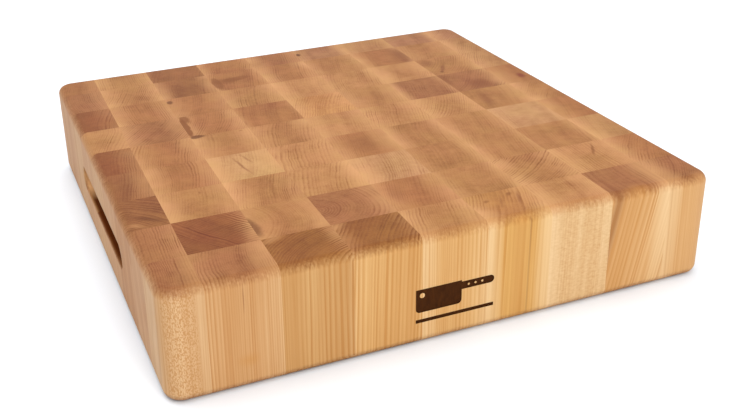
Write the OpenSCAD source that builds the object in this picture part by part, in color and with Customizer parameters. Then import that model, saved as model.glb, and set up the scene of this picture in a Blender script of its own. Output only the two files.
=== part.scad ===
// End-grain chopping block of hard maple. Square staves stand on end, so their end grain is the
// chopping surface. Staves are glued into strips that run front to back, and the strips are
// glued side by side. The panel is then trimmed square, its edges are rounded over, a finger
// grip is routed into the left and the right side, and a plain mark is burnt into the front.
//
// Millimetres. The origin is the centre of the underside, +Z is up and -Y is the front.
// Strips are lettered a to i from left to right, and rows are numbered 1 to 9 from the front.

/* [Block] */
// Width, left to right
block_w = 381; // [375:0.5:390]
// Depth, front to back
block_d = 381; // [375:0.5:390]
// Height, which is also the length of every stave
block_h = 76.2; // [50:0.1:110]
// Radius of the four upright corners
corner_r = 12; // [8:0.5:20]
// Radius of the roundover along the top and bottom edges
edge_r = 6.5; // [3:0.5:8]

/* [Staves] */
// Width of an inner strip, from joint to joint
strip_w = 45.5; // [44:0.1:46]
// Width that trimming leaves of the left-hand strip, at mid-depth
left_strip_w = 29.3; // [25:0.1:35]
// Depth of an inner stave, from joint to joint
stave_d = 43.7; // [42:0.1:45]
// Depth that trimming leaves of the front row
front_row_d = 37.7; // [34:0.1:42]
// Angle between the strips' joints and the trimmed sides, in degrees
strip_lean = 0.66; // [0:0.02:1]

/* [Finger grips] */
// Length of the routed pocket, end to end
grip_l = 150; // [110:1:180]
// Height of the pocket, which is the router bit's diameter
grip_h = 17; // [12:0.5:22]
// Depth of the pocket into the side
grip_depth = 15; // [10:0.5:18]
// Radius of the eased lip round the pocket's mouth
grip_lip_r = 1.5; // [0.5:0.5:3]

/* [Burnt mark] */
// Length of the cleaver, from the blade's front to the handle's end
mark_w = 55; // [40:1:60]
// Depth that the brand burns into the front
mark_depth = 0.6; // [0.3:0.1:1]
// Distance of the mark's middle from the block's centre, along the front
mark_x = -4; // [-20:1:20]
// Height of the mark's middle above the underside
mark_z = 29; // [20:1:50]

/* [Hidden] */
$fn = 64;

STRIPS = "abcdefghi";
COUNT = 9;
LAST = COUNT - 1;
OUTSIDE = 2; // how far an outer cell reaches past the block before it is trimmed

// Staves that the finger grips cut into, and those that carry the mark
grip_rows = [2, 3, 4, 5, 6];
mark_strips = [3, 4, 5];

// Tone of each stave's end grain, as seen from above: back row first, strips a to i
tone_map = [
    "RHDRRTHRR",
    "RHBRTTRTH",
    "DTHHPPPTH",
    "PRTRPHBRT",
    "BTHHPHHTH",
    "BTCHTHHPT",
    "DHHPPRHTH",
    "TDHBRHTHT",
    "TRDDHHHRT"
];
tones = [
    ["C", "#d8a878"], // cream
    ["P", "#cd9a6a"], // pale
    ["H", "#c48e60"], // honey
    ["T", "#bb845a"], // tan
    ["R", "#b57e58"], // rose
    ["B", "#aa7250"], // brown
    ["D", "#a06646"]  // dark
];

// 81 staves are more than 60 nodes, so identical inner staves of one strip share a node by twos.
// The two stand three rows apart, so that they stay separate solids.
PAIR_STEP = 3;
pair_rows = [1, 2, 3];

function is_outer(s, r) = s == 0 || s == LAST || r == 0 || r == LAST;
function is_single(s, r) = is_outer(s, r) || r == LAST - 1;
function pair_row(r) = r > PAIR_STEP ? r - PAIR_STEP : r;
function stave_name(s, r) = str("stave_", STRIPS[s], r + 1);
function pair_name(s, r) = str("staves_", STRIPS[s], r + 1, "_", STRIPS[s], r + 1 + PAIR_STEP);
function node_of(s, r) = is_single(s, r) ? stave_name(s, r) : pair_name(s, pair_row(r));
function tone_colour(s, r) = tones[search(tone_map[LAST - r][s], tones)[0]][1];

// Where the joint on the left of strip s lies at depth y. The outermost faces are trimmed square.
function joint_x(s, y) =
    s == 0 ? -block_w / 2 - OUTSIDE :
    s == COUNT ? block_w / 2 + OUTSIDE :
    -block_w / 2 + left_strip_w + (s - 1) * strip_w + y * tan(strip_lean);

// Where the joint in front of row r lies
function joint_y(r) =
    r == 0 ? -block_d / 2 - OUTSIDE :
    r == COUNT ? block_d / 2 + OUTSIDE :
    -block_d / 2 + front_row_d + (r - 1) * stave_d;

// Half the section of the block's edge: square inside, rounded over at the top and the bottom
module edge_section(reach) {
    square([reach - edge_r, block_h]);
    translate([0, edge_r]) square([reach, block_h - 2 * edge_r]);
    for (z = [edge_r, block_h - edge_r])
        intersection() {
            translate([reach - edge_r, z]) circle(edge_r);
            translate([reach - edge_r, 0]) square([edge_r, block_h]);
        }
}

module full_section(width) {
    edge_section(width / 2);
    mirror([1, 0]) edge_section(width / 2);
}

// The whole block as trimmed and rounded over, before the pockets and the mark
module rounded_block() {
    rotate([90, 0, 90])
        linear_extrude(block_w - 2 * corner_r, center = true) full_section(block_d);
    rotate([90, 0, 0])
        linear_extrude(block_d - 2 * corner_r, center = true) full_section(block_w);
    for (x = [-1, 1]) for (y = [-1, 1])
        translate([x * (block_w / 2 - corner_r), y * (block_d / 2 - corner_r), 0])
            rotate_extrude() edge_section(corner_r);
}

// The square of panel that stave r of strip s fills, between its glue joints
module stave_blank(s, r) {
    y0 = joint_y(r);
    y1 = joint_y(r + 1);
    linear_extrude(block_h)
        polygon([
            [joint_x(s, y0), y0],
            [joint_x(s + 1, y0), y0],
            [joint_x(s + 1, y1), y1],
            [joint_x(s, y1), y1]
        ]);
}

// Section of the eased lip, swept round each end of the pocket
module lip_section() {
    difference() {
        square([grip_h / 2 + grip_lip_r, grip_lip_r]);
        translate([grip_h / 2 + grip_lip_r, grip_lip_r]) circle(grip_lip_r);
    }
}

// Cutter for one finger grip, sunk along +X from the plane x = 0
module grip_cutter() {
    half = grip_l / 2 - grip_h / 2;
    rotate([0, 90, 0]) {
        for (y = [-half, half])
            translate([0, y, 0]) {
                cylinder(h = grip_depth, d = grip_h);
                rotate_extrude() lip_section();
            }
        translate([-grip_h / 2, -half, 0]) cube([grip_h, 2 * half, grip_depth]);
        rotate([90, 0, 0])
            linear_extrude(2 * half, center = true) {
                lip_section();
                mirror([1, 0]) lip_section();
            }
    }
}

module finger_grips() {
    for (side = [0, 1])
        mirror([side, 0, 0])
            translate([-block_w / 2, 0, block_h / 2]) grip_cutter();
}

// Outline of a butcher's cleaver over a plain rule, drawn in the plane of the front
module cleaver_outline() {
    blade_l = 0.58 * mark_w;
    blade_h = 0.3 * mark_w;
    handle_h = 0.1 * mark_w;
    spine_y = 0.2 * mark_w;
    heel_r = 0.05 * mark_w;
    neck_x = blade_l - mark_w / 2;
    handle_end = mark_w / 2 - handle_h / 2;
    handle_y = spine_y - 0.7 * handle_h;
    difference() {
        union() {
            translate([-mark_w / 2, spine_y - blade_h + heel_r])
                square([blade_l, blade_h - heel_r]);
            translate([heel_r - mark_w / 2, spine_y - blade_h])
                square([blade_l - 2 * heel_r, blade_h]);
            for (x = [heel_r - mark_w / 2, neck_x - heel_r])
                translate([x, spine_y - blade_h + heel_r]) circle(heel_r);
        }
        translate([0.08 * mark_w - mark_w / 2, spine_y - 0.08 * mark_w]) circle(0.032 * mark_w);
    }
    difference() {
        union() {
            translate([neck_x, handle_y - handle_h / 2])
                square([handle_end - neck_x, handle_h]);
            translate([handle_end, handle_y]) circle(handle_h / 2);
        }
        for (k = [1:3])
            translate([neck_x + k * (handle_end - neck_x) / 4.2, handle_y]) circle(0.014 * mark_w);
    }
    translate([-mark_w / 2, -0.235 * mark_w]) square([mark_w, 0.045 * mark_w]);
}

module burnt_mark() {
    translate([mark_x, -block_d / 2 + mark_depth, mark_z])
        rotate([90, 0, 0]) linear_extrude(mark_depth + OUTSIDE) cleaver_outline();
}

// One stave, trimmed and shaped with the block
module stave(s, r) {
    gripped = (s == 0 || s == LAST) && len(search(r, grip_rows)) > 0;
    marked = r == 0 && len(search(s, mark_strips)) > 0;
    color(tone_colour(s, r))
        difference() {
            if (is_outer(s, r))
                intersection() {
                    stave_blank(s, r);
                    rounded_block();
                }
            else
                stave_blank(s, r);
            if (gripped) finger_grips();
            if (marked) burnt_mark();
        }
}

for (s = [0:LAST]) for (r = [0:LAST])
    stave(s, r);
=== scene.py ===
import math
import random

import bmesh
import bpy
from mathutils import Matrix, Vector

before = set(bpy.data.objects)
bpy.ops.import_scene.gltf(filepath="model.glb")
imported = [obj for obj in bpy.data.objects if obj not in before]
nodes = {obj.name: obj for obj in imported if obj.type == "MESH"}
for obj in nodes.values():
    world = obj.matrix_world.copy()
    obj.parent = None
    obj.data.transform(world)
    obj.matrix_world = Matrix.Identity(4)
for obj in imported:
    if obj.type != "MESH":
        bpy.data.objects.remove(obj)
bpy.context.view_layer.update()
scene = bpy.context.scene
mm = 0.001
print("frame loaded:", len(nodes), "nodes")


def paint(hexColour):  # sRGB hex to linear
    channels = [int(hexColour[i:i + 2], 16) / 255 for i in (1, 3, 5)]
    return tuple(c / 12.92 if c <= 0.04045 else ((c + 0.055) / 1.055) ** 2.4 for c in channels) + (1.0,)


def addNode(tree, kind, links=None, **settings):  # one node, its settings and what feeds its sockets
    node = tree.nodes.new("ShaderNode" + kind)
    for name, value in settings.items():
        setattr(node, name, value)
    for socket, source in (links or {}).items():
        if isinstance(source, bpy.types.Node):
            source = source.outputs[0]
        if isinstance(source, bpy.types.NodeSocket):
            tree.links.new(source, node.inputs[socket])
        else:
            node.inputs[socket].default_value = source
    return node


def newGroup(name, inputs, outputs):  # an empty node group with its sockets
    tree = bpy.data.node_groups.new(name, "ShaderNodeTree")
    for direction, sockets in (("INPUT", inputs), ("OUTPUT", outputs)):
        for label, kind in sockets.items():
            tree.interface.new_socket(label, in_out=direction, socket_type="NodeSocket" + kind)
    return tree, tree.nodes.new("NodeGroupInput"), tree.nodes.new("NodeGroupOutput")


# Where the staves are, in millimetres: strips a to i from the left, rows 1 to 9 from the front
strips = "abcdefghi"
layout = {
    "width": 381.0,
    "leftStrip": 29.3,
    "strip": 45.5,
    "frontRow": 37.7,
    "row": 43.7,
    "height": 76.2,
    "lean": math.tan(math.radians(0.66)),
}


def stripJoint(i, y=0.0):  # joint on the left of strip i
    return -layout["width"] / 2 + layout["leftStrip"] + (i - 1) * layout["strip"] + y * layout["lean"]


def rowJoint(j):  # joint in front of row j, counted from 0
    return -layout["width"] / 2 + layout["frontRow"] + (j - 1) * layout["row"]


def staveCentre(i, j):
    half = layout["width"] / 2
    y = (max(rowJoint(j), -half) + min(rowJoint(j + 1), half)) / 2
    return (max(stripJoint(i, y), -half) + min(stripJoint(i + 1, y), half)) / 2, y


# Hard maple, sawn, glued up, sanded and oiled. End grain drinks the oil, so the top is much browner
# than the sides. Its growth rings are fine and close, with a thin darker line at the end of each
# year, and each stave was turned its own way when it was glued up.
maple = {
    "ior": 1.48,  # cured mineral oil and wax in the pores
    "gloss": 0.18,
    "sideRough": 0.5,
    "endRough": 0.58,
    "poreRough": 0.12,
    "soak": (0.05, 0.96),  # how far up the surface faces where the oil starts to show, and where it is full
    "ragged": 3.2,  # how unevenly the oil soaks in round the edges
    "relief": {"rings": -0.35, "pores": 0.5, "fibres": 0.35},  # latewood is sanded lower
    "bumpStrength": 0.5,
    # Millimetres from here on. Real pores, fibres and rays are finer, and are drawn as coarse as they
    # need to show.
    "bump": 0.12,
    "drift": 24.0,
    "cloud": 30.0,
    "mottle": 5.0,
    "pore": 0.8,
    "fibre": 1.4,
    "sideBand": 13.0,
    "curl": 1.5,
    "fleck": 0.65,
    "wander": (50.0, 6.0),  # length of the rings' slow waves, and how far they reach
    "ripple": (8.0, 1.6),  # and of their quick ones
    "faint": 14.0,
    "wobble": 2.0,  # how far a flaw's outline wanders
    "seedStep": (37.1, -21.7, 11.3),  # how far a unit of seed moves a stave's patterns
    "grain": (1, 1, 0.07),  # patterns are long up the stave
}
endFigure = {  # what darkens the end grain, and by how much
    "offset": -0.87,
    "rings": 0.75,
    "clouds": 1.0,
    "mottle": 0.55,
    "bands": 0.45,
    "rays": 0.3,
    "pores": 0.6,
    "pale": (1.2, 1.28, 1.34),  # the tone times this where it is palest, and where it is deepest
    "deep": (0.74, 0.64, 0.56),
    "deepest": (1.4, 1.8),  # the darkest shade, and how far past the deep tone it goes
    "pinker": (1.02, 0.985, 1.03, 1),
    "yellower": (0.985, 1.015, 0.95, 1),
    "raysAround": 160.0,
    "raysAlong": 0.12,
    "rayScale": 0.9,
    "glowLoss": -0.5,  # what the dark lines take off the paler wood
    "tintStep": (19, 7, 3),  # keeps the tints apart from the clouds
    "tints": (0.3, 0.7),  # the noise where the wood is pinkest, and where it is yellowest
}
sideFigure = {
    "offset": -0.56,
    "rings": 0.5,
    "broad": 0.85,
    "fibres": 0.8,
    "bands": 0.4,
    "curl": 1.3,
    "flecks": 1.0,
    "pale": (1.1, 1.16, 1.24),
    "deep": (0.84, 0.7, 0.52),
    "fleckEdge": (0.48, 0.68),  # the noise where a fleck starts, and where it is full
    "fleckTones": (-0.3, 1.4),  # between the flecks, and in them
    "fibreGrain": (1, 1, 0.25),  # fibres are longer still than the rings' waves
    "curlGrain": (0.6, 1, 1.2),
    "fleckGrain": (1, 1, 0.45),
    "glowLoss": -0.35,  # what the darker grain takes off the paler wood
}
endTones = {  # end grain under oil: cream, pale, honey, tan, rose, brown and dark boards
    "C": "#ab8051",
    "P": "#a27143",
    "H": "#99683b",
    "T": "#935f35",
    "R": "#8d5a34",
    "B": "#83512a",
    "O": "#aa7645",  # the warmer and the pinker ones
    "L": "#a87a50",
    "K": "#9e7044",
    "M": "#946440",
    "V": "#814f21",  # the more olive ones
    "Y": "#9a6836",
    "D": "#7e4822",
}
toneMap = [  # back row first, strips a to i
    "THBTRMKMM",
    "RHBTTHTHK",
    "DTTHPPPHK",
    "PRTTOHRRT",
    "DTHHPPPHH",
    "BTCPTHHLT",
    "BHHPLHHHK",
    "RDHRTHHPT",
    "RRVVHYPRR",
]
sideTones = {  # side grain
    "a": "#c69d70",
    "b": "#c29463",
    "c": "#c0935d",
    "d": "#ca9c62",
    "e": "#cfa36a",
    "f": "#cc9d5a",
    "g": "#cea878",
    "h": "#cea16c",
    "i": "#cc9f6a",
    "j": "#c19567",  # the left side's tones are a little darker
    "k": "#bc8d60",
    "l": "#b68352",
}
sideWood = {  # which side tone each outer stave has: strips a to i, or rows 1 to 9
    "front": "abcdefghi",
    "back": "ibgdaecdh",
    "left": "jklkjkjkk",
    "right": "iedhgidba",
}
creams = {"end": "#bb8a5a", "side": "#dfbe90"}  # the paler wood along the strips' joints
# Ring lines: plain, vertical, soft, strong, diagonal, strongly diagonal, falling to the right and arched.
# turn is their direction in degrees, bend the distance to the pith and gap a year's width, in millimetres.
ringLooks = {
    "p": {"turn": 76, "bend": 240, "gap": 1.9, "strength": 0.28},
    "v": {"turn": 86, "bend": 300, "gap": 1.7, "strength": 0.42},
    "s": {"turn": 73, "bend": 240, "gap": 1.8, "strength": 0.45},
    "S": {"turn": 70, "bend": 200, "gap": 2.2, "strength": 0.5},
    "d": {"turn": 56, "bend": 180, "gap": 1.8, "strength": 0.45},
    "D": {"turn": 44, "bend": 110, "gap": 1.9, "strength": 0.7},
    "f": {"turn": -48, "bend": 130, "gap": 1.9, "strength": 0.65},
    "a": {"turn": 84, "bend": 40, "gap": 2.0, "strength": 0.45},
}
ringMap = [
    "pvpsspppd",
    "vspsssppd",
    "pvpspssdd",
    "sdspSppdp",
    "pspspSdpd",
    "pvpSppppp",
    "fpsSSpppp",
    "vfasspDpd",
    "vsaDsSpvd",
]
jointGlow = {  # how much each strip pales towards its left and right joints
    "a": (0.15, 0.5), "b": (0.95, 0.75), "c": (0.9, 0.9), "d": (0.8, 0.9), "e": (0.95, 0.85),
    "f": (0.85, 1.0), "g": (1.0, 0.85), "h": (0.4, 0.95), "i": (0.95, 0.3),
}
# Staves set one by one. lean is how far the trunk leans in x and y for each unit of height, side is the
# side its pith is on, and reach is how much of the strip's width pales.
staveExtras = {
    "a1": {"fleck": True, "glow": (0.0, 0.6), "strength": 0.55},
    "a2": {"strength": 0.6},
    "b1": {"lean": (0.01, 0), "glow": (0.5, 0.9), "sideStrength": 0.9, "strength": 0.38, "turn": 84,
           "bend": 120, "gap": 1.55},
    "c1": {"lean": (0.0, 0), "glow": (0.1, 0.6), "sideStrength": 1.5, "turn": 35, "bend": 60, "side": 1,
           "reach": 0.3, "strength": 0.7},
    "d1": {"lean": (0.03, 0), "glow": (0.4, 0.3), "reach": 0.3, "sideStrength": 1.6, "strength": 0.6,
           "turn": 58, "gap": 2.6},
    "e1": {"lean": (0.0, 0), "glow": (1.1, 1.3), "sideStrength": 1.1},
    "f1": {"lean": (0.01, 0), "glow": (1.1, 1.1), "sideStrength": 1.2},
    "g1": {"curl": 0.75, "sideStrength": 0.3, "glow": (1.2, 1.0)},
    "h1": {"lean": (0.2, 0), "sideStrength": 1.7, "gap": 3.4, "glow": (0.1, 1.1)},
    "i1": {"lean": (-0.03, 0), "glow": (0.8, 0.0), "sideStrength": 0.5},
    "h5": {"glow": (0.0, 0.9)},
    "h6": {"glow": (0.0, 0.9), "reach": 0.35},
    "h7": {"glow": (0.0, 0.9), "reach": 0.35},
    "b2": {"glow": (0.1, 1.0), "strength": 0.95, "reach": 0.32, "gap": 2.0, "turn": -52, "bend": 240,
           "side": -1},
    "e2": {"strength": 0.25},
    "c2": {"strength": 0.3, "glow": (0.5, 0.8)},
    "d2": {"glow": (0.1, 0.9), "gap": 2.1, "bend": 24, "side": -1, "turn": 84, "strength": 0.45},
    "a3": {"turn": -42, "bend": 90, "side": 1, "glow": (0.2, 0.0), "gap": 2.9, "strength": 0.7},
    "e3": {"glow": (1.3, 0.4)},
    "d3": {"glow": (0.4, 1.3)},
    "c3": {"glow": (1.3, 0.4)},
    "c4": {"glow": (0.9, 0.9), "strength": 0.3},
    "h2": {"glow": (0.9, 0.6), "turn": 88, "bend": 300, "strength": 0.45},
    "f2": {"glow": (0.9, 0.9), "reach": 0.28},
    "f3": {"glow": (0.5, 0.9), "reach": 0.3},
    "g3": {"reach": 0.28},
    "h3": {"glow": (0.2, 0.9), "reach": 0.25},
    "f4": {"reach": 0.36},
    "g4": {"reach": 0.33},
    "h4": {"glow": (0.9, 0.9), "reach": 0.2},
    "d6": {"glow": (0.7, 0.6), "reach": 0.15},
    "g6": {"reach": 0.22, "gap": 1.7, "strength": 0.4},
    "f7": {"reach": 0.3},
    "c7": {"glow": (0.6, 0.6)},
    "a5": {"glow": (0.4, 0.4)},
    "a7": {"glow": (0.6, 0.4)},
    "c8": {"reach": 0.32},
    "d8": {"reach": 0.25},
    "f8": {"reach": 0.3},
    "g8": {"reach": 0.33},
    "c9": {"glow": (0.3, 0.3), "reach": 0.12},
    "d9": {"reach": 0.3},
    "f9": {"reach": 0.3},
    "g9": {"reach": 0.33},
    "h9": {"reach": 0.25},
}


ringShape = {
    "spell": 0.045,  # spells of good and bad years to a millimetre of radius
    "shift": 4.0,  # how many years they shift the lines by
    "darken": (0.25, 0.86),  # the part of a year over which its line darkens
    "end": (0.9, 1.0),  # and over which it ends
    "weakest": 0.3,  # the faintest year's line against the boldest's
    "dim": (0.36, 0.45),  # the noise where the lines are dimmest, and how strong they are there
    "clear": (0.62, 1.2),  # and the same where they are clearest
    "band": 0.11,  # broad darker bands to a millimetre of radius
}
glowShape = {
    "thin": (0.3, 0.5),  # the noise where the paler wood is thinnest, and how strong it is there
    "whole": 0.62,
    "full": -0.08,  # how far past its joint it would be full, in parts of the strip's width
}


def addRings(tree, given, place, axes, seed):  # growth rings about the pith of a leaning trunk
    along = addNode(tree, "VectorMath", {0: given["Lean"], "Scale": axes.outputs["Z"]}, operation="SCALE")
    upright = addNode(tree, "VectorMath", {0: place, 1: along}, operation="SUBTRACT")
    fibre = addNode(tree, "VectorMath", {0: upright, 1: maple["grain"]}, operation="MULTIPLY")
    fibre = addNode(tree, "VectorMath", {0: fibre, 1: seed}, operation="ADD")
    trunk = addNode(tree, "VectorMath", {0: upright, 1: given["Pith"]}, operation="SUBTRACT")
    for size, reach in (maple["wander"], maple["ripple"]):
        wave = addNode(tree, "TexNoise", {"Vector": fibre, "Scale": 1 / size, "Detail": 1.0})
        wave = addNode(tree, "VectorMath", {0: wave.outputs["Color"], 1: (0.5, 0.5, 0.5)},
                       operation="SUBTRACT")
        wave = addNode(tree, "VectorMath", {0: wave, "Scale": reach}, operation="SCALE")
        trunk = addNode(tree, "VectorMath", {0: trunk, 1: wave}, operation="ADD")
    flat = addNode(tree, "VectorMath", {0: trunk, 1: (1, 1, 0)}, operation="MULTIPLY")
    radius = addNode(tree, "VectorMath", {0: flat}, operation="LENGTH").outputs["Value"]
    years = addNode(tree, "Math", {0: radius, 1: given["Ring Gap"]}, operation="DIVIDE")
    slow = addNode(tree, "Math", {0: radius, 1: ringShape["spell"], 2: given["Seed"]},
                   operation="MULTIPLY_ADD")
    uneven = addNode(tree, "TexNoise", {"W": slow, "Scale": 1.0, "Detail": 1.0}, noise_dimensions="1D")
    # Good and bad years, and each year's line, which rises slowly and ends at once
    count = addNode(tree, "Math", {0: uneven, 1: ringShape["shift"], 2: years}, operation="MULTIPLY_ADD")
    part = addNode(tree, "Math", {0: count}, operation="FRACT")
    year = addNode(tree, "Math", {0: addNode(tree, "Math", {0: count}, operation="FLOOR"), 1: given["Seed"]})
    each = addNode(tree, "TexWhiteNoise", {"W": year}, noise_dimensions="1D").outputs["Value"]
    rise = addNode(tree, "MapRange", {"Value": part, "From Min": ringShape["darken"][0],
                                      "From Max": ringShape["darken"][1]},
                   interpolation_type="SMOOTHSTEP")
    fall = addNode(tree, "MapRange", {"Value": part, "From Min": ringShape["end"][1],
                                      "From Max": ringShape["end"][0]},
                   interpolation_type="SMOOTHSTEP")
    late = addNode(tree, "Math", {0: rise, 1: fall}, operation="MULTIPLY")
    weakest = ringShape["weakest"]
    weight = addNode(tree, "Math", {0: each, 1: 1 - weakest, 2: weakest}, operation="MULTIPLY_ADD")
    ring = addNode(tree, "Math", {0: late, 1: weight}, operation="MULTIPLY")
    clear = addNode(tree, "TexNoise", {"Vector": fibre, "Scale": 1 / maple["faint"], "Detail": 1.0})
    clear = addNode(tree, "MapRange", {"Value": clear,
                                       "From Min": ringShape["dim"][0], "To Min": ringShape["dim"][1],
                                       "From Max": ringShape["clear"][0], "To Max": ringShape["clear"][1]})
    ring = addNode(tree, "Math", {0: ring, 1: clear}, operation="MULTIPLY")  # the lines fade in and out
    wide = addNode(tree, "Math", {0: radius, 1: ringShape["band"], 2: given["Seed"]},
                   operation="MULTIPLY_ADD")
    bands = addNode(tree, "TexNoise", {"W": wide, "Scale": 1.0, "Detail": 2.0}, noise_dimensions="1D")
    return fibre, flat, radius, ring, bands


def addGlow(tree, given, fibre, axes):  # the strips are paler wood towards their joints, in patches
    straight = addNode(tree, "Math", {0: axes.outputs["Y"], 1: -layout["lean"], 2: axes.outputs["X"]},
                       operation="MULTIPLY_ADD")
    across = addNode(tree, "Math", {0: straight, 1: stripJoint(1)}, operation="SUBTRACT")
    across = addNode(tree, "Math", {0: across, 1: layout["strip"]}, operation="DIVIDE")
    across = addNode(tree, "Math", {0: across}, operation="FRACT")
    patches = addNode(tree, "TexNoise", {"Vector": fibre, "Scale": 1 / maple["cloud"], "Detail": 1.0})
    patches = addNode(tree, "MapRange", {"Value": patches, "From Max": glowShape["whole"],
                                         "From Min": glowShape["thin"][0], "To Min": glowShape["thin"][1]})
    other = addNode(tree, "Math", {0: 1.0, 1: across}, operation="SUBTRACT")
    sides = []
    for distance, most in ((across, given["Glow Left"]), (other, given["Glow Right"])):
        sides.append(addNode(tree, "MapRange", {"Value": distance, "From Min": given["Glow Reach"],
                                                "From Max": glowShape["full"], "To Max": most},
                             interpolation_type="SMOOTHSTEP"))
    both = addNode(tree, "Math", {0: sides[0], 1: sides[1]})
    return addNode(tree, "Math", {0: both, 1: patches}, operation="MULTIPLY", use_clamp=True)


def addRays(tree, given, flat, radius):  # medullary rays, which run out from the pith
    bearing = addNode(tree, "SeparateXYZ", {0: flat})
    bearing = addNode(tree, "Math", {0: bearing.outputs["Y"], 1: bearing.outputs["X"]}, operation="ARCTAN2")
    bearing = addNode(tree, "Math", {0: bearing, 1: endFigure["raysAround"]}, operation="MULTIPLY")
    outward = addNode(tree, "Math", {0: radius, 1: endFigure["raysAlong"]}, operation="MULTIPLY")
    rays = addNode(tree, "CombineXYZ", {0: bearing, 1: outward, 2: given["Seed"]})
    return addNode(tree, "TexNoise", {"Vector": rays, "Scale": endFigure["rayScale"], "Detail": 1.0})


def addEndGrain(tree, given, fibre, flat, radius, ring, bands, glow):
    rays = addRays(tree, given, flat, radius)
    cloud = addNode(tree, "TexNoise", {"Vector": fibre, "Scale": 1 / maple["cloud"], "Roughness": 0.45})
    mottle = addNode(tree, "TexNoise", {"Vector": fibre, "Scale": 1 / maple["mottle"], "Detail": 3.0})
    pores = addNode(tree, "TexNoise", {"Vector": fibre, "Scale": 1 / maple["pore"], "Detail": 1.0})
    line = addNode(tree, "Math", {0: ring, 1: given["Ring Strength"]}, operation="MULTIPLY")
    shade = addNode(tree, "Math", {0: line, 1: endFigure["rings"], 2: endFigure["offset"]},
                    operation="MULTIPLY_ADD")
    patterns = {"clouds": cloud, "mottle": mottle, "bands": bands, "rays": rays, "pores": pores}
    for name, pattern in patterns.items():
        shade = addNode(tree, "Math", {0: pattern, 1: endFigure[name], 2: shade}, operation="MULTIPLY_ADD")
    pale = addNode(tree, "VectorMath", {0: given["End Tone"], 1: endFigure["pale"]}, operation="MULTIPLY")
    deep = addNode(tree, "VectorMath", {0: given["End Tone"], 1: endFigure["deep"]}, operation="MULTIPLY")
    lowHalf = addNode(tree, "MapRange", {"Value": shade, "From Max": 0.5})
    colour = addNode(tree, "Mix", {0: lowHalf, 6: pale, 7: given["End Tone"]}, data_type="RGBA").outputs[2]
    highHalf = addNode(tree, "MapRange", {"Value": shade, "From Min": 0.5,
                                          "From Max": endFigure["deepest"][0],
                                          "To Max": endFigure["deepest"][1]})
    colour = addNode(tree, "Mix", {0: highHalf, 6: colour, 7: deep}, data_type="RGBA",
                     clamp_factor=False).outputs[2]
    lit = addNode(tree, "Math", {0: line, 1: endFigure["glowLoss"], 2: glow}, operation="MULTIPLY_ADD",
                  use_clamp=True)
    colour = addNode(tree, "Mix", {0: lit, 6: colour, 7: paint(creams["end"])}, data_type="RGBA").outputs[2]
    drift = addNode(tree, "VectorMath", {0: fibre, 1: endFigure["tintStep"]})
    drift = addNode(tree, "TexNoise", {"Vector": drift, "Scale": 1 / maple["drift"], "Detail": 1.0})
    drift = addNode(tree, "MapRange", {"Value": drift, "From Min": endFigure["tints"][0],
                                       "From Max": endFigure["tints"][1]})
    drift = addNode(tree, "Mix", {0: drift, 6: endFigure["pinker"], 7: endFigure["yellower"]},
                    data_type="RGBA")
    colour = addNode(tree, "VectorMath", {0: colour, 1: drift.outputs[2]}, operation="MULTIPLY")
    return colour, pores


def addSideGrain(tree, given, place, seed, fibre, ring, bands, glow):  # the same rings, seen edge on
    fine = addNode(tree, "VectorMath", {0: fibre, 1: sideFigure["fibreGrain"]}, operation="MULTIPLY")
    fibres = addNode(tree, "TexNoise", {"Vector": fine, "Scale": 1 / maple["fibre"], "Detail": 2.0})
    broad = addNode(tree, "TexNoise", {"Vector": fine, "Scale": 1 / maple["sideBand"], "Detail": 1.0})
    local = addNode(tree, "VectorMath", {0: place, 1: seed}, operation="ADD")
    curl = addNode(tree, "VectorMath", {0: local, 1: sideFigure["curlGrain"]}, operation="MULTIPLY")
    curl = addNode(tree, "TexNoise", {"Vector": curl, "Scale": 1 / maple["curl"]})
    curl = addNode(tree, "Math", {0: curl, 1: 0.5}, operation="SUBTRACT")
    curl = addNode(tree, "Math", {0: curl, 1: given["Curl"]}, operation="MULTIPLY")
    flecks = addNode(tree, "VectorMath", {0: local, 1: sideFigure["fleckGrain"]}, operation="MULTIPLY")
    flecks = addNode(tree, "TexNoise", {"Vector": flecks, "Scale": 1 / maple["fleck"], "Detail": 2.0})
    start, full = sideFigure["fleckEdge"]
    between, within = sideFigure["fleckTones"]
    flecks = addNode(tree, "MapRange", {"Value": flecks, "From Min": start, "From Max": full,
                                        "To Min": between, "To Max": within})
    flecks = addNode(tree, "Math", {0: flecks, 1: given["Fleck"]}, operation="MULTIPLY")
    line = addNode(tree, "Math", {0: ring, 1: given["Side Strength"]}, operation="MULTIPLY")
    shade = addNode(tree, "Math", {0: line, 1: sideFigure["rings"], 2: sideFigure["offset"]},
                    operation="MULTIPLY_ADD")
    patterns = {"broad": broad, "fibres": fibres, "bands": bands, "curl": curl, "flecks": flecks}
    for name, pattern in patterns.items():
        shade = addNode(tree, "Math", {0: pattern, 1: sideFigure[name], 2: shade}, operation="MULTIPLY_ADD")
    pale = addNode(tree, "VectorMath", {0: given["Side Tone"], 1: sideFigure["pale"]}, operation="MULTIPLY")
    deep = addNode(tree, "VectorMath", {0: given["Side Tone"], 1: sideFigure["deep"]}, operation="MULTIPLY")
    colour = addNode(tree, "Mix", {0: shade, 6: pale, 7: deep}, data_type="RGBA").outputs[2]
    lit = addNode(tree, "Math", {0: shade, 1: sideFigure["glowLoss"], 2: glow}, operation="MULTIPLY_ADD",
                  use_clamp=True)
    colour = addNode(tree, "Mix", {0: lit, 6: colour, 7: paint(creams["side"])}, data_type="RGBA").outputs[2]
    return colour, fibres


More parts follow.
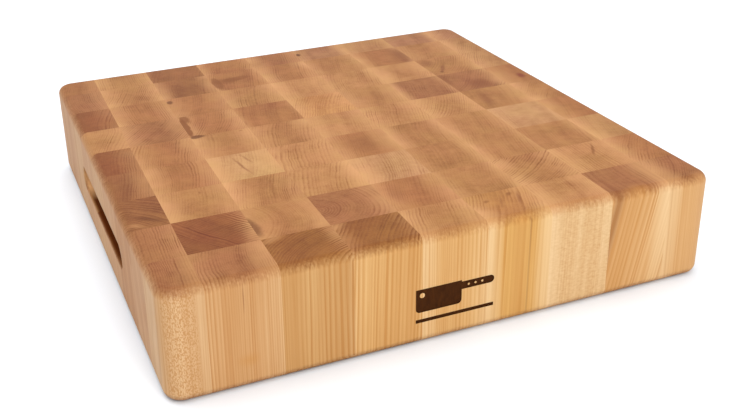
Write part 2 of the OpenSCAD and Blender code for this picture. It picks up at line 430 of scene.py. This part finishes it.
def addEndness(tree, coords, fibres):  # 1 on the flat end grain, 0 on the sides, uneven round the edges
    facing = addNode(tree, "SeparateXYZ", {0: coords.outputs["Normal"]})
    facing = addNode(tree, "Math", {0: facing.outputs["Z"]}, operation="ABSOLUTE")
    square = addNode(tree, "Math", {0: facing, 1: facing}, operation="MULTIPLY")
    slope = addNode(tree, "Math", {0: facing, 1: square}, operation="SUBTRACT")  # most halfway round the edge
    ragged = addNode(tree, "Math", {0: fibres, 1: 0.5}, operation="SUBTRACT")
    ragged = addNode(tree, "Math", {0: ragged, 1: slope}, operation="MULTIPLY")
    ragged = addNode(tree, "Math", {0: ragged, 1: maple["ragged"], 2: facing}, operation="MULTIPLY_ADD")
    start, full = maple["soak"]
    return addNode(tree, "MapRange", {"Value": ragged, "From Min": start, "From Max": full})


def buildMaple():
    tree, source, result = newGroup(
        "oiled hard maple",
        {
            "End Tone": "Color", "Side Tone": "Color", "Pith": "Vector", "Lean": "Vector",
            "Ring Gap": "Float", "Ring Strength": "Float", "Side Strength": "Float",
            "Glow Left": "Float", "Glow Right": "Float", "Glow Reach": "Float",
            "Curl": "Float", "Fleck": "Float", "Seed": "Float",
        },
        {"Color": "Color", "Roughness": "Float", "Height": "Float"},
    )
    given = source.outputs
    coords = addNode(tree, "TexCoord")
    place = addNode(tree, "VectorMath", {0: coords.outputs["Object"], "Scale": 1 / mm}, operation="SCALE")
    axes = addNode(tree, "SeparateXYZ", {0: place})
    seed = addNode(tree, "VectorMath", {0: maple["seedStep"], "Scale": given["Seed"]}, operation="SCALE")
    fibre, flat, radius, ring, bands = addRings(tree, given, place, axes, seed)
    glow = addGlow(tree, given, fibre, axes)
    endColour, pores = addEndGrain(tree, given, fibre, flat, radius, ring, bands, glow)
    sideColour, fibres = addSideGrain(tree, given, place, seed, fibre, ring, bands, glow)
    endness = addEndness(tree, coords, fibres)
    colour = addNode(tree, "Mix", {0: endness, 6: sideColour, 7: endColour}, data_type="RGBA")
    tree.links.new(colour.outputs[2], result.inputs["Color"])
    rough = addNode(tree, "MapRange", {"Value": endness, "To Min": maple["sideRough"],
                                       "To Max": maple["endRough"]})
    rough = addNode(tree, "Math", {0: pores, 1: maple["poreRough"], 2: rough}, operation="MULTIPLY_ADD")
    tree.links.new(rough.outputs[0], result.inputs["Roughness"])
    relief = maple["relief"]
    height = addNode(tree, "Math", {0: ring, 1: relief["rings"]}, operation="MULTIPLY")
    height = addNode(tree, "Math", {0: pores, 1: relief["pores"], 2: height}, operation="MULTIPLY_ADD")
    height = addNode(tree, "Math", {0: fibres, 1: relief["fibres"], 2: height}, operation="MULTIPLY_ADD")
    tree.links.new(height.outputs[0], result.inputs["Height"])
    return tree


# Flaws that run up a stave: mineral streaks, heartwood, pin knots and pale patches
flawColours = {
    "mineral": "#744119",  # minerals that the living tree took up
    "heart": "#74401f",
    "knot": "#562805",
    "cream": "#bd8a58",
    "red": "#70311a",
    "honey": "#b9803f",
}
# For each stave: colour, x, y, half length, half width, turn in degrees, strength and how far in the soft
# edge starts. Most run the whole height of the stave, and the others end with their z and half height.
flaws = {
    "d8": [("mineral", -64, 128, 19, 5, 90, 0.75, 0.6), ("mineral", -55, 132, 15, 8.5, 4, 0.5, 0.5),
           ("mineral", -46, 134, 16, 5.5, 8, 0.6, 0.6)],
    "c6": [("mineral", -113.4, 42, 25, 3.4, 89, 0.9, 0.6), ("mineral", -110.5, 60, 12, 5, 97, 0.8, 0.4),
           ("knot", -110.5, 21, 7.5, 3.8, 4, 0.8, 0.5)],
    "c5": [("knot", -110.5, 21, 7.5, 3.8, 4, 0.8, 0.5), ("mineral", -77, 19, 2.6, 1.8, 0, 0.5, 0.2)],
    "c7": [("knot", -112, 101, 5.5, 3.4, 80, 0.75, 0.4)],
    "f9": [("knot", 25, 171, 4.5, 2.6, 80, 0.9, 0.4)],
    "g8": [("heart", 109, 130, 30, 11, 88, 0.7, 0.2), ("heart", 106, 115, 6, 6, 0, 0.5, 0.2)],
    "h7": [("heart", 127, 82, 13, 3, 62, 0.65, 0.3), ("heart", 120, 98, 15, 9, 80, 0.5, 0.1),
           ("knot", 122, 73, 4, 2.5, 60, 0.6, 0.2)],
    "h6": [("heart", 136, 34, 16, 14, 40, 0.65, 0.2), ("heart", 115, 50, 20, 4, 86, 0.5, 0.2)],
    "h5": [("heart", 123, -2, 22, 7, 80, 0.5, 0.2)],
    "i6": [("red", 178, 36, 9, 5, 80, 0.9, 0.2)],
    "h2": [("mineral", 141, -122, 15, 1.8, 62, 0.7, 0.2)],
    "f1": [("mineral", 31, -164, 3.5, 2.5, 30, 0.6, 0.2), ("mineral", 50, -160, 5, 2.6, 40, 0.7, 0.2),
           ("honey", 42, -190, 9, 3, 0, 0.45, 0.2), ("heart", 49, -190, 1.2, 2, 0, 0.4, 0.1),
           ("heart", 53, -168, 13, 2, 68, 0.55, 0.2), ("heart", 40, -167, 12, 1.6, 66, 0.4, 0.2)],
    "a3": [("knot", -174, -97, 17, 4, -36, 0.6, 0.1), ("cream", -184, -103, 11, 4, -30, 0.32, 0.0),
           ("knot", -185, -78, 14, 2.5, -55, 0.25, 0.1)],
    "c2": [("knot", -118, -134, 20, 6.5, 97, 0.65, 0.4)],
    "c4": [("heart", -95.5, -43.5, 22, 1.6, -81, 0.65, 0.1), ("heart", -89, -33, 12, 1.5, -77, 0.5, 0.1)],
    "c1": [("cream", -111, -155, 14, 5, 25, 0.4, 0.0)],
    "d1": [("cream", -70, -156, 13, 5, 30, 0.35, 0.0)],
    "c3": [("mineral", -88, -90, 22, 3, 80, 0.35, 0.2)],
    "h1": [("heart", 116, -190, 30, 6, 90, 0.45, 0.1), ("heart", 127, -172, 20, 9, 88, 0.2, 0.2),
           ("honey", 132, -190, 12, 14, 90, 0.35, 0.0)],
    "i1": [("cream", 181, -190, 12, 9, 90, 0.45, 0.0)],
    "b2": [("knot", -158, -146, 14, 9, 90, 0.22, 0.0), ("red", -146, -136, 16, 12, 90, 0.18, 0.0)],
    "b1": [("honey", -140, -190, 10, 4, 0, 0.5, 0.0, 20, 7),
           ("heart", -141, -190, 0.8, 2, 0, 0.4, 0.2, 62, 14)],
    "b3": [("mineral", -134, -73, 3, 1.2, 80, 0.5, 0.2)],
    "e4": [("heart", -6, -42, 20, 16, 80, 0.3, 0.2)],
    "e2": [("heart", -16, -128, 18, 8, 80, 0.3, 0.2)],
}


def buildFlaw():
    tree, source, result = newGroup(
        "flaw in maple",
        {"Color": "Color", "Flaw": "Color", "Centre": "Vector", "Size": "Vector", "Lean": "Vector",
         "Turn": "Float", "Strength": "Float", "Edge": "Float"},
        {"Color": "Color"},
    )
    given = source.outputs
    coords = addNode(tree, "TexCoord")
    place = addNode(tree, "VectorMath", {0: coords.outputs["Object"], "Scale": 1 / mm}, operation="SCALE")
    wobble = addNode(tree, "VectorMath", {0: place, 1: (1, 1, 0.05)}, operation="MULTIPLY")
    wobble = addNode(tree, "TexNoise", {"Vector": wobble, "Scale": 1 / maple["mottle"], "Detail": 2.0})
    wobble = addNode(tree, "VectorMath", {0: wobble.outputs["Color"], 1: (0.5, 0.5, 0.5)},
                     operation="SUBTRACT")
    wobble = addNode(tree, "VectorMath", {0: wobble, "Scale": maple["wobble"]}, operation="SCALE")
    place = addNode(tree, "VectorMath", {0: place, 1: wobble}, operation="ADD")
    place = addNode(tree, "VectorMath", {0: place, 1: given["Centre"]}, operation="SUBTRACT")
    up = addNode(tree, "SeparateXYZ", {0: place})
    along = addNode(tree, "VectorMath", {0: given["Lean"], "Scale": up.outputs["Z"]}, operation="SCALE")
    place = addNode(tree, "VectorMath", {0: place, 1: along}, operation="SUBTRACT")
    turned = addNode(tree, "VectorRotate", {"Vector": place, "Angle": given["Turn"]}, rotation_type="Z_AXIS")
    unit = addNode(tree, "VectorMath", {0: turned, 1: given["Size"]}, operation="DIVIDE")
    reach = addNode(tree, "VectorMath", {0: unit}, operation="LENGTH").outputs["Value"]
    mask = addNode(tree, "MapRange", {"Value": reach, "From Min": 1.0, "From Max": given["Edge"],
                                      "To Max": given["Strength"]}, interpolation_type="SMOOTHSTEP")
    colour = addNode(tree, "Mix", {0: mask, 6: given["Color"], 7: given["Flaw"]}, data_type="RGBA")
    tree.links.new(colour.outputs[2], result.inputs["Color"])
    return tree


# The finger grips: painted shade darkens the pocket, most on the faces that look up or down and less at its
# front end, and gives way to painted light on the back end wall; the walls take no polish.
# Millimetres, but for the colours, the masks, the tilt and the gloss.
grip = {
    "height": 38.1,
    "reach": 11.0,
    "half": 76.0,
    "pocket": (0.8, 16.0),  # how deep the faces lie that take no polish
    "mouth": 0.3,  # how deep the painted shade starts, and where it is full
    "fade": 2.5,
    "backEnd": (70.0, 43.0),  # y where the painted shade gives way to painted light, and where the shade is full
    "frontEnd": (-76.0, -50.0),
    "frontShade": 0.72,
    "wallShade": 0.6,  # how much painted shade covers the end wall and the floor of the pocket
    "floorShade": 0.95,
    "tilt": (0.3, 0.9),  # how far up or down a face looks where it starts to be floor, and where it is
    # painted light on the back end wall, and painted shade in the rest of the pocket
    "paintedLight": "#eebb82",
    "pocketShade": "#5a2400",
    "gloss": 0.03,
}
gripRows = range(2, 7)
fleckPatch = {"x": (-168, -173), "y": (-185, -188)}  # where a1's flecks fade in, next to the block's corner
mapleGroup = buildMaple()
flawGroup = buildFlaw()


def isGripped(i, j):
    return i in (0, 8) and j in gripRows


def sideKey(i, j):
    if j == 0:
        return sideWood["front"][i]
    if i in (0, 8):
        return sideWood["left" if i == 0 else "right"][j]
    return sideWood["back"][i]


# Painted shade in a finger grip's pocket, with painted light on its back end wall
def addPocketShade(tree, colour):
    coords = addNode(tree, "TexCoord")
    place = addNode(tree, "VectorMath", {0: coords.outputs["Object"], "Scale": 1 / mm}, operation="SCALE")
    away = addNode(tree, "VectorMath", {0: place, 1: (0, 0, grip["height"])}, operation="SUBTRACT")
    away = addNode(tree, "VectorMath", {0: away}, operation="ABSOLUTE")
    away = addNode(tree, "SeparateXYZ", {0: away})
    half = layout["width"] / 2
    inside = addNode(tree, "MapRange", {"Value": away.outputs["X"], "From Min": half - grip["mouth"],
                                        "From Max": half - grip["fade"]})
    level = addNode(tree, "Math", {0: away.outputs["Z"], 1: grip["reach"]}, operation="LESS_THAN")
    facing = addNode(tree, "VectorMath", {0: coords.outputs["Normal"]}, operation="ABSOLUTE")
    facing = addNode(tree, "SeparateXYZ", {0: facing}).outputs["Z"]
    facing = addNode(tree, "MapRange", {"Value": facing, "From Min": grip["tilt"][0],
                                        "From Max": grip["tilt"][1], "To Min": grip["wallShade"],
                                        "To Max": grip["floorShade"]})
    mask = addNode(tree, "Math", {0: inside, 1: level}, operation="MULTIPLY")
    mask = addNode(tree, "Math", {0: mask, 1: facing}, operation="MULTIPLY")
    travel = addNode(tree, "SeparateXYZ", {0: place}).outputs["Y"]
    shadeAlong = addNode(tree, "MapRange", {"Value": travel, "From Min": grip["backEnd"][0],
                                       "From Max": grip["backEnd"][1]})
    ahead = addNode(tree, "MapRange", {"Value": travel, "From Min": grip["frontEnd"][0],
                                       "From Max": grip["frontEnd"][1], "To Min": grip["frontShade"]})
    shadeAlong = addNode(tree, "Math", {0: shadeAlong, 1: ahead}, operation="MULTIPLY")
    # painted light towards the back end, painted shade elsewhere in the pocket
    pocketColour = addNode(tree, "Mix", {0: shadeAlong, 6: paint(grip["paintedLight"]), 7: paint(grip["pocketShade"])},
                   data_type="RGBA")
    return addNode(tree, "Mix", {0: mask, 6: colour, 7: pocketColour.outputs[2]}, data_type="RGBA").outputs[2]


def addFleckMask(tree, wood):  # only the wood next to the block's corner is flecked
    axes = addNode(tree, "SeparateXYZ", {0: addNode(tree, "TexCoord").outputs["Object"]})
    near = addNode(tree, "MapRange", {"Value": axes.outputs["X"], "From Min": fleckPatch["x"][0] * mm,
                                      "From Max": fleckPatch["x"][1] * mm})
    ahead = addNode(tree, "MapRange", {"Value": axes.outputs["Y"], "From Min": fleckPatch["y"][0] * mm,
                                       "From Max": fleckPatch["y"][1] * mm})
    both = addNode(tree, "Math", {0: near, 1: ahead}, operation="MULTIPLY")
    tree.links.new(both.outputs[0], wood.inputs["Fleck"])


def addFlaws(tree, colour, name, lean):
    for kind, x, y, long, wide, angle, strength, edge, *span in flaws.get(name, []):
        z, tall = span or (layout["height"], 1e5)  # as good as endless, up and down
        flaw = addNode(tree, "Group", {"Color": colour}, node_tree=flawGroup)
        fit = {"Flaw": paint(flawColours[kind]), "Centre": (x, y, z), "Size": (long, wide, tall),
               "Lean": lean, "Turn": math.radians(-angle), "Strength": strength, "Edge": edge}
        for socket, value in fit.items():
            flaw.inputs[socket].default_value = value
        colour = flaw.outputs["Color"]
    return colour


def cutStave(i, j):  # how the stave was cut from its tree: what the maple group is given
    dice = random.Random(i * 31 + j * 7 + 5)
    look = ringLooks[ringMap[8 - j][i]]
    extra = staveExtras.get(strips[i] + str(j + 1), {})
    x, y = staveCentre(i, j)
    turn = math.radians(extra.get("turn", look["turn"] + dice.uniform(-6, 6)) - 90)
    bend = extra.get("bend", look["bend"] * dice.uniform(0.8, 1.3)) * extra.get("side", dice.choice((-1, 1)))
    glow = extra.get("glow", jointGlow[strips[i]])
    return {
        "End Tone": paint(endTones[toneMap[8 - j][i]]),
        "Side Tone": paint(sideTones[sideKey(i, j)]),
        "Pith": (x + bend * math.cos(turn), y + bend * math.sin(turn), 0),
        "Lean": tuple(extra.get("lean", (dice.uniform(-0.03, 0.03), dice.uniform(-0.03, 0.03)))) + (0,),
        "Ring Gap": extra.get("gap", look["gap"] * dice.uniform(0.9, 1.15)),
        "Ring Strength": extra.get("strength", look["strength"]),
        "Side Strength": extra.get("sideStrength", 0.9),
        "Glow Left": glow[0] * dice.uniform(0.7, 1.1),
        "Glow Right": glow[1] * dice.uniform(0.7, 1.1),
        "Glow Reach": extra.get("reach", 0.45),
        "Curl": extra.get("curl", 0.0),
        "Seed": dice.uniform(0, 90),
    }


def mapleFor(i, j):  # one material for each stave
    name = strips[i] + str(j + 1)
    material = bpy.data.materials.new("oiled maple " + name)
    material.use_nodes = True
    tree = material.node_tree
    shader = tree.nodes["Principled BSDF"]
    cut = cutStave(i, j)
    wood = addNode(tree, "Group", node_tree=mapleGroup)
    for socket, value in cut.items():
        wood.inputs[socket].default_value = value
    if staveExtras.get(name, {}).get("fleck"):
        addFleckMask(tree, wood)
    colour = addFlaws(tree, wood.outputs["Color"], name, cut["Lean"])
    if isGripped(i, j):
        # painted shade in the finger grip's pocket
        colour = addPocketShade(tree, colour)
    bump = addNode(tree, "Bump", {"Height": wood.outputs["Height"], "Strength": maple["bumpStrength"],
                                  "Distance": maple["bump"] * mm})
    tree.links.new(colour, shader.inputs["Base Color"])
    tree.links.new(wood.outputs["Roughness"], shader.inputs["Roughness"])
    tree.links.new(bump.outputs[0], shader.inputs["Normal"])
    shader.inputs["IOR"].default_value = maple["ior"]
    shader.inputs["Specular IOR Level"].default_value = maple["gloss"]
    return material


def dullPocketCopy(material):  # for the pocket's walls, which take no polish and keep the painted shade
    dull = material.copy()
    dull.name = material.name.replace("oiled", "pocketShade")
    dull.node_tree.nodes["Principled BSDF"].inputs["Specular IOR Level"].default_value = grip["gloss"]
    return dull


# The mark: maple charred by a hot iron, nearly black, dull, with browner ash where the iron pressed less
char = {
    "deep": "#281003",
    "light": "#4c2808",
    "patch": 2.0,  # millimetres, down to the frame's corners
    "relief": 0.2,
    "recess": (0.05, 1.0),  # how deep the charred faces lie
    "low": (-34, 14),  # x and z of the corners of a frame round the mark
    "high": (26, 44),
    "grain": (1, 1, 0.3),  # ash lies in streaks up the grain
    "bumpStrength": 0.6,
    "rough": 0.95,
    "gloss": 0.1,
    "staves": ("stave_d1", "stave_e1", "stave_f1"),
}


def charredMaple():
    material = bpy.data.materials.new("charred maple")
    material.use_nodes = True
    tree = material.node_tree
    shader = tree.nodes["Principled BSDF"]
    place = addNode(tree, "VectorMath", {0: addNode(tree, "TexCoord").outputs["Object"], "Scale": 1 / mm},
                    operation="SCALE")
    place = addNode(tree, "VectorMath", {0: place, 1: char["grain"]}, operation="MULTIPLY")
    ash = addNode(tree, "TexNoise", {"Vector": place, "Scale": 1 / char["patch"], "Detail": 3.0})
    colour = addNode(tree, "Mix", {0: ash, 6: paint(char["deep"]), 7: paint(char["light"])},
                     data_type="RGBA")
    bump = addNode(tree, "Bump", {"Height": ash, "Strength": char["bumpStrength"],
                                  "Distance": char["relief"] * mm})
    tree.links.new(colour.outputs[2], shader.inputs["Base Color"])
    tree.links.new(bump.outputs[0], shader.inputs["Normal"])
    shader.inputs["Roughness"].default_value = char["rough"]
    shader.inputs["Specular IOR Level"].default_value = char["gloss"]
    return material


def isPocket(spot):  # whether a face lies inside a finger grip
    depth = layout["width"] / 2 - abs(spot.x)
    nearest, farthest = grip["pocket"]
    level = abs(spot.z - grip["height"]) < grip["reach"]
    return nearest < depth < farthest and abs(spot.y) < grip["half"] and level


def isBurnt(spot):  # whether a face lies in the mark's recess
    depth = spot.y + layout["width"] / 2
    nearest, farthest = char["recess"]
    framed = char["low"][0] < spot.x < char["high"][0] and char["low"][1] < spot.z < char["high"][1]
    return framed and nearest < depth < farthest


charred = charredMaple()
for name, node in nodes.items():
    mesh = node.data
    keys = [(strips.index(part[0]), int(part[1]) - 1) for part in name.split("_")[1:]]
    mesh.materials.clear()
    for key in keys:
        mesh.materials.append(mapleFor(*key))
    isSpecial = None
    if name in char["staves"]:
        mesh.materials.append(charred)
        isSpecial = isBurnt
    elif isGripped(*keys[0]):
        mesh.materials.append(dullPocketCopy(mesh.materials[0]))
        isSpecial = isPocket
    picks = []
    for face in mesh.polygons:
        spot = face.center / mm
        nearest = min(keys, key=lambda key: abs(spot.y - staveCentre(*key)[1]))
        picks.append(len(keys) if isSpecial and isSpecial(spot) else keys.index(nearest))
    mesh.polygons.foreach_set("material_index", picks)
print("staves finished:", len(bpy.data.materials), "materials")

# Floor: a table of white opal acrylic, matt, so it shows no reflections and only soft, short shadows
table = {
    "colour": "#e6ebf0",
    "glow": 0.01,  # a little light comes through it
    "rough": 0.7,
    "gloss": 0.1,
    "tooth": 3.0,  # millimetres
    "relief": 0.05,
    "bumpStrength": 0.1,
    "half": 6.0,  # metres
}


def opalAcrylic():
    material = bpy.data.materials.new("white opal acrylic")
    material.use_nodes = True
    tree = material.node_tree
    shader = tree.nodes["Principled BSDF"]
    place = addNode(tree, "VectorMath", {0: addNode(tree, "TexCoord").outputs["Object"], "Scale": 1 / mm},
                    operation="SCALE")
    tooth = addNode(tree, "TexNoise", {"Vector": place, "Scale": 1 / table["tooth"]})
    bump = addNode(tree, "Bump", {"Height": tooth, "Strength": table["bumpStrength"],
                                  "Distance": table["relief"] * mm})
    tree.links.new(bump.outputs[0], shader.inputs["Normal"])
    shader.inputs["Base Color"].default_value = paint(table["colour"])
    shader.inputs["Roughness"].default_value = table["rough"]
    shader.inputs["Specular IOR Level"].default_value = table["gloss"]
    shader.inputs["Emission Color"].default_value = paint("#ffffff")
    shader.inputs["Emission Strength"].default_value = table["glow"]
    return material


sheet = bmesh.new()
bmesh.ops.create_grid(sheet, x_segments=1, y_segments=1, size=table["half"])
floorMesh = bpy.data.meshes.new("tableTop")
sheet.to_mesh(floorMesh)
sheet.free()
floorMesh.materials.append(opalAcrylic())
floor = bpy.data.objects.new("tableTop", floorMesh)
scene.collection.objects.link(floor)
print("floor laid")

# Light: a soft sky that is dim to the left, and two softboxes that look at the block
studio = {
    "sky": "#f9fbff",
    "horizon": 0.45,
    "zenith": 1.25,
    "left": -0.35,  # added to the sky towards the left
    "back": 0.5,  # and towards the back
    "aim": (0, 0, 0.04),
    "lamps": {  # place and size in metres, watts, colour
        "keySoftbox": ((-0.1, -2.1, 1.8), 1.4, 36, "#fffaf3"),
        "topSoftbox": ((-0.6, 0.2, 2.4), 1.8, 23, "#ffffff"),
    },
}


def lightSky():
    world = bpy.data.worlds.new("studio")
    scene.world = world
    world.use_nodes = True
    tree = world.node_tree
    axes = addNode(tree, "SeparateXYZ", {0: addNode(tree, "TexCoord").outputs["Generated"]})
    dome = addNode(tree, "MapRange", {"Value": axes.outputs["Z"], "From Max": 0.9,
                                      "To Min": studio["horizon"], "To Max": studio["zenith"]})
    left = addNode(tree, "MapRange", {"Value": axes.outputs["X"], "From Min": 0.2, "From Max": -0.9,
                                      "To Max": studio["left"]})
    back = addNode(tree, "MapRange", {"Value": axes.outputs["Y"], "From Max": 0.9, "To Max": studio["back"]})
    dome = addNode(tree, "Math", {0: dome, 1: addNode(tree, "Math", {0: left, 1: back})})
    tree.links.new(dome.outputs[0], tree.nodes["Background"].inputs["Strength"])
    tree.nodes["Background"].inputs["Color"].default_value = paint(studio["sky"])


lightSky()
for name, (place, size, watts, tint) in studio["lamps"].items():
    data = bpy.data.lights.new(name, "AREA")
    data.size = size
    data.energy = watts
    data.color = paint(tint)[:3]
    lamp = bpy.data.objects.new(name, data)
    scene.collection.objects.link(lamp)
    lamp.location = place
    lamp.rotation_euler = (Vector(studio["aim"]) - Vector(place)).to_track_quat("-Z", "Y").to_euler()

view = {
    "place": (-0.2744, -0.6815, 0.3730),  # metres
    "turn": (65.81, 1.41, -21.79),  # degrees
    "lens": 49.8,  # millimetres, on a sensor 36 wide
    "sensor": 36,
    "shift": (0.0546, -0.0623),
    "nearest": 0.01,
}
cameraData = bpy.data.cameras.new("camera")
cameraData.sensor_width = view["sensor"]
cameraData.lens = view["lens"]
cameraData.shift_x, cameraData.shift_y = view["shift"]
cameraData.clip_start = view["nearest"]
camera = bpy.data.objects.new("camera", cameraData)
camera.location = view["place"]
camera.rotation_euler = [math.radians(angle) for angle in view["turn"]]
scene.collection.objects.link(camera)
scene.camera = camera
scene.view_settings.view_transform = "Standard"
scene.view_settings.look = "None"
print("light and camera set")
